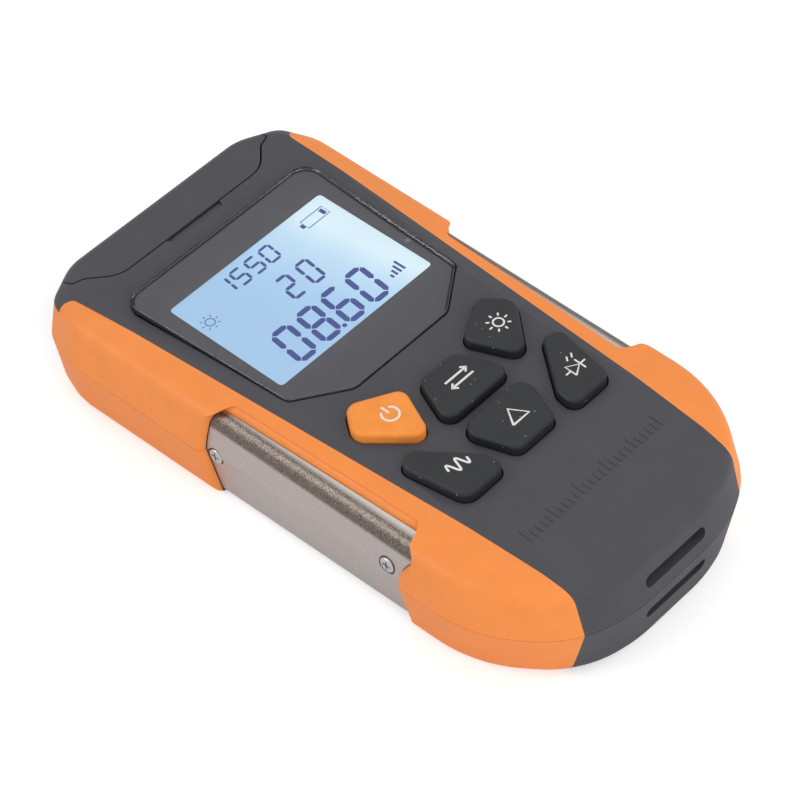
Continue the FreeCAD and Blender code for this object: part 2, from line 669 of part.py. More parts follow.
for x, y in board_posts:
    for side in (1, -1):
        shank = rod(screw_shank_r, (side * x, y, board_z - 0.1), (0, 0, 1), board_screw_length)
        head = rod(screw_head_r, (side * x, y, board_z - board_head_h), (0, 0, 1), board_head_h)
        board_screws.append(shank.fuse(head))
        main_board = main_board.cut(rod(screw_shank_r + 0.15, (side * x, y, 0), (0, 0, 1), FAR))
chips = [box(-6, 6, 30, 42, board_z - 1.6, board_z), box(12, 18, 34, 39, board_z - 1.2, board_z),
         box(-20, -14, 24, 28, board_z - 1.4, board_z), box(4, 13, 14, 19, board_z - 2.4, board_z)]

# ---------------------------------------------------------------- port, torch, cells and contacts
def port_rod(r, y0, y1):
    return rod(r, (port_x, y0, port_z), (0, 1, 0), y1 - y0)


def torch_rod(r, y0, y1):
    return rod(r, (torch_x, y0, torch_z), (0, 1, 0), y1 - y0)


adapter = port_rod(barrel_r, *barrel_y).fuse(
    box(port_x - flange_half, port_x + flange_half, bay_y, bay_y + flange_sheet,
        port_z - flange_half, port_z + flange_half))
key_slot, key_slot_y = barrel_key
adapter = adapter.cut([port_rod(3.1, 65.0, 72.0), port_rod(sleeve_out_r + thread_play, 50.0, 72.0),
                       box(port_x - key_slot / 2, port_x + key_slot / 2, key_slot_y, 72.0,
                           port_z + 2.5, port_z + 5)])
sleeve = port_rod(sleeve_out_r, *sleeve_y).cut(port_rod(sleeve_r, 50, 75))
port_screws = []
for dx, dz in port_screw_at:
    screw = rod(screw_shank_r, (port_x + dx, bay_y - port_screw_length, port_z + dz), (0, 1, 0),
                port_screw_length + flange_sheet)
    head = rod(screw_head_r - 0.2, (port_x + dx, bay_y + flange_sheet, port_z + dz), (0, 1, 0), 0.9)
    port_screws.append(screw.fuse(head))
    hole = rod(screw_shank_r + thread_play, (port_x + dx, 50, port_z + dz), (0, 1, 0), 20)
    adapter = adapter.cut(hole)
    port_panel = port_panel.cut(hole)
port_panel = port_panel.cut([port_rod(barrel_r + panel_play, 50, 70),
                             torch_rod(torch_r + panel_play, 50, 70)])
detector = port_rod(2.7, 50.4, barrel_y[0]).fuse(port_rod(detector_r, 49.9, 50.5))
detector = detector.fuse([rod(0.25, (port_x + dx, 44.0, port_z + dz), (0, 1, 0), 6.0)
                          for dx, dz in ((-1.2, 0), (1.2, 0), (0, 1.2))])
block_y = (48.5, bay_y - panel_sheet)
detector_block = box(port_x - block_half, port_x + block_half, *block_y,
                     port_z - block_half, port_z + block_half)
detector_block = detector_block.cut([port_rod(barrel_r + 0.05, barrel_y[0], 70),
                                     port_rod(detector_r + panel_play, 40, barrel_y[0] + 0.1)])
detector_block = detector_block.cut([rod(1.1, (port_x + dx, 56.0, port_z + dz), (0, 1, 0), 10)
                                     for dx, dz in port_screw_at])
block_room = block_half + view_play
main_board = main_board.cut(box(port_x - block_room, port_x + block_room, block_y[0] - view_play, FAR,
                                board_z - 1, board_top + 1))
torch_lens = torch_rod(torch_r, 59.6, 62.6).fuse(torch_rod(torch_r + 0.8, bay_y, bay_y + 0.9))
bulb = Part.makeSphere(torch_r, Vector(torch_x, 62.4, torch_z)).common(torch_rod(torch_r, 62.4, 70))
torch_lens = torch_lens.fuse(bulb)
torch_led = torch_rod(2.5, 52.0, 58.6).fuse(torch_rod(2.9, 52.0, 53.0))
for dx in (-1.27, 1.27):
    lead = box(torch_x + dx - 0.25, torch_x + dx + 0.25, 49.0, 52.0, torch_z - 0.25, torch_z + 0.25)
    rise = box(torch_x + dx - 0.25, torch_x + dx + 0.25, 49.0, 49.5, torch_z - 0.25, board_z)
    torch_led = torch_led.fuse([lead, rise])

cells = []
plus_plates = []
minus_springs = []
cell_z = cell_bay_top - 0.3 - cell_r
contact_sheet = 0.4
for i in range(cell_count):
    x = (i - (cell_count - 1) / 2) * cell_pitch
    up = 1 if i % 2 == 0 else -1
    plus_y = cell_bay_y[1] if up > 0 else cell_bay_y[0]
    tip = plus_y - up * (contact_sheet + 0.05)
    can = rod(cell_r, (x, tip - up * 1.4, cell_z), (0, -up, 0), cell_length - 1.4)
    can = can.makeFillet(0.6, [e for e in can.Edges if e.BoundBox.YLength < 1])
    nub = rod(2.7, (x, tip - up * 1.6, cell_z), (0, up, 0), 1.6)
    cells.append(can.fuse(nub))
    ends = sorted((plus_y, plus_y - up * contact_sheet))
    plus_plates.append(box(x - 4.5, x + 4.5, ends[0], ends[1], cell_z - 5, cell_z + 5))
    minus_y = cell_bay_y[0] if up > 0 else cell_bay_y[1]
    tail = tip - up * cell_length
    profile = [Vector(x, minus_y, cell_z - 5), Vector(x, minus_y + up * contact_sheet, cell_z - 5),
               Vector(x, tail - up * 0.05, cell_z + 0.5), Vector(x, tail - up * 0.05, cell_z + 1.5),
               Vector(x, minus_y + up * contact_sheet, cell_z + 5), Vector(x, minus_y, cell_z + 5)]
    inner = [Vector(x, minus_y, cell_z + 4.4), Vector(x, tail - up * 0.6, cell_z + 1.3),
             Vector(x, tail - up * 0.6, cell_z + 0.7), Vector(x, minus_y, cell_z - 4.4)]
    strip = Part.Face(Part.makePolygon(profile + inner + [profile[0]]))
    minus_springs.append(strip.extrude(Vector(6, 0, 0)).translate(Vector(-3, 0, 0)))

case_screws = []
for x, y in case_screw_places:
    for side in (1, -1):
        head = rod(case_head_r, (side * x, y, case_sink - 1.4), (0, 0, 1), 1.4)
        head = head.cut([box(side * x - 1.3, side * x + 1.3, y - 0.25, y + 0.25, 0, case_sink - 0.8),
                         box(side * x - 0.25, side * x + 0.25, y - 1.3, y + 1.3, 0, case_sink - 0.8)])
        shank = rod(case_screw_r - 0.01, (side * x, y, case_sink), (0, 0, 1), case_screw_length)
        case_screws.append(head.fuse(shank))

# ---------------------------------------------------------------- output
save("front_shell", front_shell)
save("rear_shell", rear_shell)
grip_rear_port, grip_rear_end = sorted(grip_rear.Solids, key=lambda s: -s.CenterOfMass.y)
for name, shape in (("grip_front", grip_front), ("grip_rear_port", grip_rear_port),
                    ("grip_rear_end", grip_rear_end), ("side_plate", side_plate)):
    save(name + "_right", shape)
    save(name + "_left", flipped(shape))
save("side_screws", Part.makeCompound(plate_screws + [flipped(s) for s in plate_screws]))
save("case_screws", Part.makeCompound(case_screws))
save("port_cover", cover)
save("hinge_pin", hinge_pin)
save("port_panel", port_panel)
save("port_adapter", adapter)
save("port_sleeve", sleeve)
save("port_screws", Part.makeCompound(port_screws))
save("detector", detector)
save("detector_block", detector_block)
save("torch_lens", torch_lens)
save("torch_led", torch_led)
save("display_window", display_window)
save("window_tape", window_tape)
save("lcd_panel", lcd_panel)
save("backlight", backlight)
save("lcd_holder", lcd_holder)
for name, (shape, mid) in key_shapes.items():
    save(name, shape)
save("keypad_mat", mat)
save("key_domes", Part.makeCompound(domes))
save("main_board", main_board)
save("board_chips", Part.makeCompound(chips))
save("board_screws", Part.makeCompound(board_screws))
save("battery_cells", Part.makeCompound(cells))
save("cell_plates", Part.makeCompound(plus_plates))
save("cell_springs", Part.makeCompound(minus_springs))
save("battery_door", door)
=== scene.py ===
# %% [markdown]
# # A handheld optical power meter
# The meter is a small moulded instrument: a dark housing in two halves, soft orange grips over its
# shoulders, a metal plate let into each side, a display behind a raised pane, six soft keys and a
# hinged cover over the fibre port. The construction comes packed as a fixed frame. This script gives
# it its finishes, the picture on the display, the signs on the keys, a studio and a camera.

# %% Load the frame
import math

import bpy
import numpy as np
from mathutils import Matrix, Vector


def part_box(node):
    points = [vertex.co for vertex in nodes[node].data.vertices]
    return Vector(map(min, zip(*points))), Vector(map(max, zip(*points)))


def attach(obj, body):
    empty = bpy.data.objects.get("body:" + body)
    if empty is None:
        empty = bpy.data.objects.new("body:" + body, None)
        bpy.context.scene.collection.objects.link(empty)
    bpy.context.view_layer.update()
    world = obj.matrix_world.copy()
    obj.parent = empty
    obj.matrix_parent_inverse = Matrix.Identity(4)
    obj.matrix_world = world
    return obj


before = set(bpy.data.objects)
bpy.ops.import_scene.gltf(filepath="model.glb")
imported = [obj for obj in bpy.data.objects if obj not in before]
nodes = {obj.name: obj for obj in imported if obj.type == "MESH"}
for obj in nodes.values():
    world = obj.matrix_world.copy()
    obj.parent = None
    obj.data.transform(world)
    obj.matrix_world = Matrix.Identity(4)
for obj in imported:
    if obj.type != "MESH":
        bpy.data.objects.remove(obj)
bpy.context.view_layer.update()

# %% [markdown]
# ## Placing things on the face
# The face of the housing isn't flat. It is a very shallow arc along the length, so anything printed
# on it or raised from it must follow that arc. One small function that gives the height of the arc
# is enough, because across the width the face is straight.

# %% The arc of the face
MM = 0.001
face_top = float(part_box("front_shell")[1][2])
crown_radius = 1000 * MM
crown_y = -2 * MM  # where along the meter the face is highest
key_rise = 2.4 * MM  # how far the top of a key stands over the face
face_end = 70 * MM


def face_height(y):
    """Height of the face: an arc of crown_radius along y whose top is face_top, at crown_y."""
    return face_top - crown_radius + np.sqrt(crown_radius ** 2 - (np.asarray(y) - crown_y) ** 2)


print("face height at the middle: %.2f mm" % (face_height(0) / MM))
print("face height near the end: %.2f mm" % (face_height(face_end) / MM))

# %% [markdown]
# ## Strokes
# Signs on keys and figures on a display are all strokes of some width. They could be letters of a
# font turned into a mesh, but worked out as arrays they keep exact sizes and need no font. A stroke is
# a path with a rectangular profile carried along it. The same function makes a line of even width, an
# arc, and one bar of a seven-bar figure, which is a stroke that starts and ends in a point.

# %% The two borders of a stroke
def stroke(points, widths, closed):
    """Left and right border of a stroke: each point moved sideways by half the width there.
    The sideways direction is the path's direction, averaged between neighbours and given a quarter turn."""
    points = np.asarray(points, float)
    widths = np.broadcast_to(np.asarray(widths, float), len(points))
    if closed:
        run = np.roll(points, -1, 0) - np.roll(points, 1, 0)
    else:
        run = np.gradient(points, axis=0)
    run /= np.linalg.norm(run, axis=1, keepdims=True)
    side = np.stack([-run[:, 1], run[:, 0]], 1) * widths[:, None] / 2
    return points + side, points - side


one_left, one_right = stroke([(0, 0), (5 * MM, 0)], 1 * MM, False)
print("a stroke of 1 mm has its borders %.2f mm apart" % ((one_left - one_right)[0, 1] / MM))


# %% Many strokes as one mesh
def stroke_mesh(strokes, height, thick):
    """Vertices and faces of many strokes. Each station of a stroke has four vertices, left and right
    on the underside and on top. Height gives the underside over (x, y), and thick is added for the top."""
    vertices, faces, base = [], [], 0
    for points, widths, closed in strokes:
        left, right = stroke(points, widths, closed)
        low_left, low_right = height(*left.T), height(*right.T)
        corners = np.stack([np.column_stack([side, z]) for side, z in (
            (left, low_left), (left, low_left + thick), (right, low_right + thick), (right, low_right))], 1)
        count = len(left)
        i = np.arange(count if closed else count - 1)
        j = (i + 1) % count
        k = np.arange(4)
        a = base + 4 * i[:, None] + k
        b = base + 4 * i[:, None] + (k + 1) % 4
        c = base + 4 * j[:, None] + (k + 1) % 4
        d = base + 4 * j[:, None] + k
        faces += np.stack([a, d, c, b], -1).reshape(-1, 4).tolist()
        if not closed:
            last = base + 4 * (count - 1)
            faces += [[base + n for n in (0, 1, 2, 3)], [last + n for n in (3, 2, 1, 0)]]
        vertices.append(corners.reshape(-1, 3))
        base += 4 * count
    return np.concatenate(vertices), faces


one_vertices, one_faces = stroke_mesh([([(0, 0), (5 * MM, 0)], 1 * MM, False)], lambda x, y: 0 * x, 1 * MM)
print("a straight stroke has", len(one_vertices), "vertices and", len(one_faces), "faces")


# %% An object from vertices and faces
def make_object(name, vertices, faces, material):
    """A mesh object at the origin: its place is in its vertices."""
    mesh = bpy.data.meshes.new(name)
    mesh.from_pydata(np.asarray(vertices).tolist(), [], faces)
    mesh.materials.append(material)
    mesh.update()
    piece = bpy.data.objects.new(name, mesh)
    bpy.context.scene.collection.objects.link(piece)
    print(name, len(mesh.vertices), "vertices")
    return piece


# %% [markdown]
# ## Finishes
# Every finish starts from the same shader. Its even values are set on the shader's own sockets, and
# only what changes over the surface is wired in. An image could be laid on the parts instead, but it
# would have to be unwrapped, and it blurs close up. Noise over the object's own coordinates needs
# neither. Moulded plastic is never quite smooth: the mould is spark-eroded, which leaves a fine grain,
# so most finishes here carry a fine noise as a bump.

# %% Colours and plain materials
def srgb(r, g, b):
    """A colour written as 0 to 255 values, as linear light."""
    c = np.array([r, g, b]) / 255
    linear = np.where(c <= 0.04045, c / 12.92, ((c + 0.055) / 1.055) ** 2.4)
    return tuple(linear.tolist()) + (1.0,)


def new_finish(name, colour, roughness, **sockets):
    """A material with its shader's even values set. Returns the material, its nodes and the shader."""
    material = bpy.data.materials.new(name)
    material.use_nodes = True
    shader = material.node_tree.nodes["Principled BSDF"]
    shader.inputs["Base Color"].default_value = colour
    shader.inputs["Roughness"].default_value = roughness
    for socket, value in sockets.items():
        shader.inputs[socket.replace("_", " ")].default_value = value
    return material, material.node_tree, shader


print("a half grey is %.3f of full light" % srgb(128, 128, 128)[0])


# %% Noise, ramps and shades of a colour
def object_noise(tree, scale, detail=2.0, roughness=0.5):
    """A noise over the object's own coordinates, in cells per metre."""
    place = tree.nodes.new("ShaderNodeTexCoord")
    noise = tree.nodes.new("ShaderNodeTexNoise")
    noise.inputs["Scale"].default_value = scale
    noise.inputs["Detail"].default_value = detail
    noise.inputs["Roughness"].default_value = roughness
    tree.links.new(place.outputs["Object"], noise.inputs["Vector"])
    return noise


def ramp(tree, source, stops):
    """A colour ramp from a value: stops is a list of (position, colour)."""
    node = tree.nodes.new("ShaderNodeValToRGB")
    elements = node.color_ramp.elements
    while len(elements) < len(stops):
        elements.new(0.5)
    for element, (position, colour) in zip(elements, stops):
        element.position = position
        element.color = colour
    tree.links.new(source, node.inputs["Fac"])
    return node


def shades(colour, spread):
    """The colour darkened and lightened by the same share."""
    return [tuple(min(c * (1 + change), 1.0) for c in colour[:3]) + (1.0,) for change in (-spread, spread)]


def grey(level):
    """A colour whose three channels are the same, for a ramp that drives a plain number."""
    return (level,) * 3 + (1.0,)


print("shades of a grey of 0.5:", [round(tone[0], 2) for tone in shades(grey(0.5), 0.1)])


# %% Grain, mottle and moulded finishes
def add_grain(tree, shader, scale, depth):
    """A fine bump over the whole surface: depth is its height in metres."""
    noise = object_noise(tree, scale, detail=3.0, roughness=0.6)
    bump = tree.nodes.new("ShaderNodeBump")
    bump.inputs["Strength"].default_value = 1.0
    bump.inputs["Distance"].default_value = depth
    tree.links.new(noise.outputs["Fac"], bump.inputs["Height"])
    tree.links.new(bump.outputs["Normal"], shader.inputs["Normal"])


def add_mottle(tree, shader, colour, scale, spread):
    """A slow change between the colour darkened by spread and the colour lightened by spread."""
    noise = object_noise(tree, scale, detail=4.0, roughness=0.6)
    dark, light = shades(colour, spread)
    tint = ramp(tree, noise.outputs["Fac"], [(0.3, dark), (0.7, light)])
    tree.links.new(tint.outputs["Color"], shader.inputs["Base Color"])
    return tint


def moulded(name, colour, roughness, grain=3200, depth=0.012 * MM, spread=0.06, **sockets):
    """Moulded plastic or rubber: an even gloss, a spark-eroded grain and a slow mottle."""
    material, tree, shader = new_finish(name, colour, roughness, **sockets)
    add_mottle(tree, shader, colour, scale=160, spread=spread)
    add_grain(tree, shader, grain, depth)
    return material


dark_shell = moulded("dark_moulded_shell", srgb(66, 66, 72), 0.5)
soft_orange = moulded("soft_orange_grip", srgb(249, 145, 66), 0.5, depth=0.008 * MM, spread=0.03)
inner_plastic = moulded("inner_plastic", srgb(48, 48, 52), 0.55)
mat_rubber = moulded("keypad_mat_rubber", srgb(60, 60, 66), 0.7)
print("moulded finishes ready")

# %% [markdown]
# ## Keys
# The keys are silicone rubber. Rubber holds dust, so close up there are tiny pale specks on it. The
# specks could be small meshes strewn over the keys, but a pattern in the finish costs far less and
# goes round every edge. Cell noise gives one random value and one distance per cell: a speck is a
# small disc round the cell's centre, shown only in the few cells whose random value is high.

# %% Specks of dust and key rubber
def add_dust(tree, shader, source, scale, size, share, colour):
    """Mixes colour over source in discs of the given size, in about share of the cells."""
    place = tree.nodes.new("ShaderNodeTexCoord")
    cells = tree.nodes.new("ShaderNodeTexVoronoi")
    cells.inputs["Scale"].default_value = scale
    tree.links.new(place.outputs["Object"], cells.inputs["Vector"])
    near = tree.nodes.new("ShaderNodeMath")
    near.operation = "LESS_THAN"
    near.inputs[1].default_value = size
    tree.links.new(cells.outputs["Distance"], near.inputs[0])
    split = tree.nodes.new("ShaderNodeSeparateColor")
    tree.links.new(cells.outputs["Color"], split.inputs["Color"])
    chosen = tree.nodes.new("ShaderNodeMath")
    chosen.operation = "GREATER_THAN"
    chosen.inputs[1].default_value = 1 - share
    tree.links.new(split.outputs["Red"], chosen.inputs[0])
    both = tree.nodes.new("ShaderNodeMath")
    both.operation = "MULTIPLY"
    tree.links.new(near.outputs[0], both.inputs[0])
    tree.links.new(chosen.outputs[0], both.inputs[1])
    mix = tree.nodes.new("ShaderNodeMix")
    mix.data_type = "RGBA"
    mix.inputs["B"].default_value = colour
    tree.links.new(both.outputs[0], mix.inputs["Factor"])
    tree.links.new(source.outputs["Color"], mix.inputs["A"])
    tree.links.new(mix.outputs["Result"], shader.inputs["Base Color"])


def key_rubber(name, colour, dust):
    """Moulded rubber with specks of dust in the colour dust."""
    material, tree, shader = new_finish(name, colour, roughness=0.55)
    tint = add_mottle(tree, shader, colour, scale=220, spread=0.08)
    add_grain(tree, shader, scale=2600, depth=0.01 * MM)
    add_dust(tree, shader, tint, scale=1300, size=0.18, share=0.05, colour=dust)
    return material


dark_key = key_rubber("dark_key_rubber", srgb(34, 35, 39), srgb(150, 150, 154))
orange_key = key_rubber("orange_key_rubber", srgb(252, 150, 62), srgb(255, 190, 130))
print("key finishes ready")

# %% [markdown]
# ## Metals
# The side plates are sprayed with a warm grey metallic paint. Its flakes lie at slightly different
# angles, so each one glints on its own. Cell noise gives each flake its lightness and a small bump.
# Over the bend at the top the paint is darkened and its flakes stand out, which is painted shade,
# and along the rim it is lightened, which is a painted highlight of the polished edge. A second
# material could show that, but a change with the height keeps the plate in one piece.
# Screws, port and contacts are bare metal, where fine marks change the gloss and not the colour.

# %% Heights on the side plate
plate_top = float(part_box("side_plate_right")[1][2])
# Where the painted shade over the bend and the painted highlight along the rim begin and end
bend_from, bend_to = plate_top - 4.4 * MM, plate_top - 3.2 * MM
rim_from, rim_to = plate_top - 0.5 * MM, plate_top - 0.1 * MM
print("the plate's bend starts at %.1f mm and its rim at %.1f mm" % (bend_from / MM, rim_from / MM))


def rise_between(tree, height, low, high):
    """A smooth step that is 0 at height low and 1 at height high."""
    step = tree.nodes.new("ShaderNodeMapRange")
    step.interpolation_type = "SMOOTHSTEP"
    step.inputs["From Min"].default_value = low
    step.inputs["From Max"].default_value = high
    tree.links.new(height, step.inputs["Value"])
    return step.outputs["Result"]


# %% Metallic paint
def flaked(name, colour, bend_shade_colour, painted_rim_colour):
    """Metallic paint: each cell is one flake with its own lightness. Over the bend the paint turns to the
    second colour, a painted shade, and its flakes stand out more; along the rim it turns to the third
    colour, a painted highlight."""
    material, tree, shader = new_finish(name, colour, roughness=0.36, Metallic=0.75)
    place = tree.nodes.new("ShaderNodeTexCoord")
    cells = tree.nodes.new("ShaderNodeTexVoronoi")
    cells.inputs["Scale"].default_value = 6500
    tree.links.new(place.outputs["Object"], cells.inputs["Vector"])
    split = tree.nodes.new("ShaderNodeSeparateColor")
    tree.links.new(cells.outputs["Color"], split.inputs["Color"])
    side_dark, side_light = shades(colour, spread=0.10)
    bend_shade_dark, bend_shade_light = shades(bend_shade_colour, spread=0.6)
    side = ramp(tree, split.outputs["Red"], [(0.1, side_dark), (0.9, side_light)])
    edge = ramp(tree, split.outputs["Red"], [(0.1, bend_shade_dark), (0.9, bend_shade_light)])
    axes = tree.nodes.new("ShaderNodeSeparateXYZ")
    tree.links.new(place.outputs["Object"], axes.inputs["Vector"])
    height = axes.outputs["Z"]
    # Painted shade: over the bend the flakes turn darker and stand out more
    bend = tree.nodes.new("ShaderNodeMix")
    bend.data_type = "RGBA"
    tree.links.new(rise_between(tree, height, bend_from, bend_to), bend.inputs["Factor"])
    tree.links.new(side.outputs["Color"], bend.inputs["A"])
    tree.links.new(edge.outputs["Color"], bend.inputs["B"])
    # Painted highlight: along the rim the paint turns lighter
    rim = tree.nodes.new("ShaderNodeMix")
    rim.data_type = "RGBA"
    tree.links.new(rise_between(tree, height, rim_from, rim_to), rim.inputs["Factor"])
    tree.links.new(bend.outputs["Result"], rim.inputs["A"])
    rim.inputs["B"].default_value = painted_rim_colour
    tree.links.new(rim.outputs["Result"], shader.inputs["Base Color"])
    bump = tree.nodes.new("ShaderNodeBump")
    bump.inputs["Strength"].default_value = 0.35
    bump.inputs["Distance"].default_value = 0.004 * MM
    tree.links.new(split.outputs["Green"], bump.inputs["Height"])
    tree.links.new(bump.outputs["Normal"], shader.inputs["Normal"])
    return material


# The darker bend colour is painted shade and the lighter rim colour a painted highlight
plate_paint = flaked("warm_grey_plate_paint", srgb(194, 185, 182), bend_shade_colour=srgb(116, 105, 98),
                     painted_rim_colour=srgb(214, 210, 205))
print("plate paint ready")


# %% Bare metal
def bare_metal(name, colour, roughness, change=0.06):
    """Bare metal with fine marks: its roughness goes from change below the given one to change above."""
    material, tree, shader = new_finish(name, colour, roughness, Metallic=1.0)
    marks = object_noise(tree, scale=8000, detail=5.0, roughness=0.7)
    low, high = grey(roughness - change), grey(roughness + change)
    gloss = ramp(tree, marks.outputs["Fac"], [(0.3, low), (0.7, high)])
    tree.links.new(gloss.outputs["Color"], shader.inputs["Roughness"])
    return material


screw_steel = bare_metal("screw_steel", srgb(208, 207, 210), 0.3)
nickel = bare_metal("port_nickel", srgb(205, 200, 190), 0.22)
contact_metal = bare_metal("contact_nickel", srgb(200, 200, 198), 0.25)
print("bare metals ready")

# %% [markdown]
# ## Parts behind the pane and inside
# The pane is clear acrylic whose rim is painted shade: its faces that look sideways take a dark tint,
# which the direction of the surface picks out. The rest is seen only with the cover or the battery door
# open, or through the pane, but each part still gets its own finish: green board, white ceramic,
# wrapped cells.

# %% Clear plastic and the pane
def clear(name, colour, low, high, **sockets):
    """Clear plastic whose roughness wanders slowly from low to high, like wiped finger marks."""
    material, tree, shader = new_finish(name, colour, low, **sockets)
    marks = object_noise(tree, scale=90, detail=4.0, roughness=0.6)
    gloss = ramp(tree, marks.outputs["Fac"], [(0.35, grey(low)), (0.65, grey(high))])
    tree.links.new(gloss.outputs["Color"], shader.inputs["Roughness"])
    return material, tree, shader


def pane_with_shaded_rim(colour, painted_rim_colour):
    """Clear acrylic in the colour where it lies flat and in the second colour, a painted shade, where it
    stands upright. How flat it lies is the upward share of the surface's direction, without its sign."""
    material, tree, shader = clear("pane_acrylic", colour, 0.015, 0.045, Transmission_Weight=1.0, IOR=1.49,
                                   Specular_IOR_Level=0.25)
    facing = tree.nodes.new("ShaderNodeTexCoord")
    apart = tree.nodes.new("ShaderNodeSeparateXYZ")
    flatness = tree.nodes.new("ShaderNodeMath")
    flatness.operation = "ABSOLUTE"
    tree.links.new(facing.outputs["Normal"], apart.inputs["Vector"])
    tree.links.new(apart.outputs["Z"], flatness.inputs[0])
    # Painted shade: the upright faces of the rim take the dark colour
    tint = ramp(tree, flatness.outputs["Value"], [(0.6, painted_rim_colour), (0.9, colour)])
    tree.links.new(tint.outputs["Color"], shader.inputs["Base Color"])
    return material


# The dark rim colour is painted shade
pane_clear = pane_with_shaded_rim(srgb(250, 252, 255), painted_rim_colour=srgb(38, 38, 42))
lamp_clear = clear("lamp_epoxy", srgb(245, 245, 225), 0.08, 0.14, Transmission_Weight=0.7, IOR=1.5)[0]
lens_clear = clear("torch_lens_clear", srgb(245, 250, 252), 0.03, 0.07, Transmission_Weight=1.0, IOR=1.49)[0]
print("clear finishes ready")

# %% Print, tape, ceramic, chips and cells
pane_print = moulded("pane_back_print", srgb(92, 91, 97), 0.6, grain=3000, depth=0.0004 * MM, spread=0.03)
tape_black = moulded("tape_black", srgb(10, 10, 11), 0.8, grain=1400, depth=0.01 * MM)
ceramic = moulded("white_ceramic", srgb(236, 234, 228), 0.22, depth=0.002 * MM, spread=0.02)
chip_black = moulded("chip_epoxy", srgb(30, 30, 32), 0.45, depth=0.006 * MM)
cell_wrap = moulded("cell_wrap", srgb(70, 84, 104), 0.28, depth=0.003 * MM)
print("inner finishes ready")


# %% The circuit board
def board_finish():
    """Green solder mask over a pattern of tracks: stretched bricks read as parallel runs of copper."""
    material, tree, shader = new_finish("green_board", srgb(22, 84, 52), 0.35)
    place = tree.nodes.new("ShaderNodeTexCoord")
    tracks = tree.nodes.new("ShaderNodeTexBrick")
    tracks.inputs["Scale"].default_value = 300
    tracks.inputs["Mortar Size"].default_value = 0.03
    tracks.inputs["Color1"].default_value = srgb(20, 80, 50)
    tracks.inputs["Color2"].default_value = srgb(24, 90, 56)
    tracks.inputs["Mortar"].default_value = srgb(40, 120, 78)
    tree.links.new(place.outputs["Object"], tracks.inputs["Vector"])
    tree.links.new(tracks.outputs["Color"], shader.inputs["Base Color"])
    return material


board_green = board_finish()
print("board finish ready")

# %% [markdown]
# ## The display
# A liquid crystal display is dark bars on a lit ground. The ground is brightest beside its lamp, at
# the right edge, so its colour runs from a deeper to a paler blue. The bars are thin strokes just
# over the glass. They glow a little too, because the ground behind them shines through.

# %% The lit ground
view_low, view_high = (np.array(corner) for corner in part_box("lcd_panel"))
view_middle = (view_low + view_high) / 2
glow_width = 30 * MM


def lit_ground():
    """Glass that glows: blue over most of its width and almost white beside the lamp at its right edge.
    The gradient runs along x over glow_width, and a faint mottle keeps it from being quite even."""
    material, tree, shader = new_finish("lit_ground", srgb(40, 52, 64), 0.5)
    place = tree.nodes.new("ShaderNodeTexCoord")
    turn = tree.nodes.new("ShaderNodeMapping")
    turn.vector_type = "TEXTURE"
    turn.inputs["Location"].default_value = (float(view_high[0]) - glow_width, 0, 0)
    turn.inputs["Rotation"].default_value = (0, 0, math.radians(8))
    turn.inputs["Scale"].default_value = (glow_width, glow_width, 1)
    tree.links.new(place.outputs["Object"], turn.inputs["Vector"])
    blend = tree.nodes.new("ShaderNodeTexGradient")
    tree.links.new(turn.outputs["Vector"], blend.inputs["Vector"])
    tint = ramp(tree, blend.outputs["Fac"], [(0.0, srgb(160, 198, 231)), (0.35, srgb(166, 204, 235)),
                                             (0.7, srgb(190, 222, 242)), (0.92, srgb(222, 243, 250))])
    cloud = object_noise(tree, scale=60)
    thin = ramp(tree, cloud.outputs["Fac"], [(0.3, grey(0.95)), (0.7, grey(1.0))])
    mix = tree.nodes.new("ShaderNodeMix")
    mix.data_type = "RGBA"
    mix.blend_type = "MULTIPLY"
    mix.inputs["Factor"].default_value = 1.0
    tree.links.new(tint.outputs["Color"], mix.inputs["A"])
    tree.links.new(thin.outputs["Color"], mix.inputs["B"])
    tree.links.new(mix.outputs["Result"], shader.inputs["Emission Color"])
    shader.inputs["Emission Strength"].default_value = 1.0
    return material


display_ground = lit_ground()
bar_ink = moulded("bar_ink", srgb(6, 12, 34), 0.6, depth=0.001 * MM, Emission_Color=srgb(8, 52, 144),
                  Emission_Strength=0.8)
print("the display is %.1f mm wide and %.1f mm high" % tuple((view_high - view_low)[:2] / MM))

# %% [markdown]
# ## Figures and small pictures
# A figure on such a display is really made of up to seven bars, so it is built that way here: a table
# says which bars each figure lights. A ring with rays for the lamp and a box for the battery are
# strokes as well, so that one mesh can hold the whole picture.

# %% Seven-bar figures
# Which bars a figure lights, and from where to where each bar runs as shares of width and height
LIT_BARS = {"0": "abcdef", "1": "bc", "2": "abdeg", "3": "abcdg", "4": "bcfg", "5": "acdfg",
            "6": "acdefg", "7": "abc", "8": "abcdefg", "9": "abcdfg"}
BAR_ENDS = {"a": ((0, 1), (1, 1)), "b": ((1, 1), (1, 0.5)), "c": ((1, 0.5), (1, 0)), "d": ((0, 0), (1, 0)),
            "e": ((0, 0), (0, 0.5)), "f": ((0, 0.5), (0, 1)), "g": ((0, 0.5), (1, 0.5))}


def figure(digit, corner, width, height, bar):
    """Strokes of one seven-bar figure. A bar runs between two of six spots, starts and ends in a
    point, and is as wide as bar between. The figure leans to the right by a tenth of its height."""
    lean, gap_share, tip_share = 0.10, 0.14, 0.04
    strokes = []
    for letter in LIT_BARS[digit]:
        (u0, v0), (u1, v1) = BAR_ENDS[letter]
        start = np.array([u0 * width + v0 * height * lean, v0 * height]) + corner
        end = np.array([u1 * width + v1 * height * lean, v1 * height]) + corner
        run = (end - start) / np.linalg.norm(end - start)
        gap = bar * gap_share
        points = np.array([start + run * gap, start + run * (gap + bar / 2), end - run * (gap + bar / 2),
                           end - run * gap])
        strokes.append((points, np.array([tip_share, 1, 1, tip_share]) * bar, False))
    return strokes


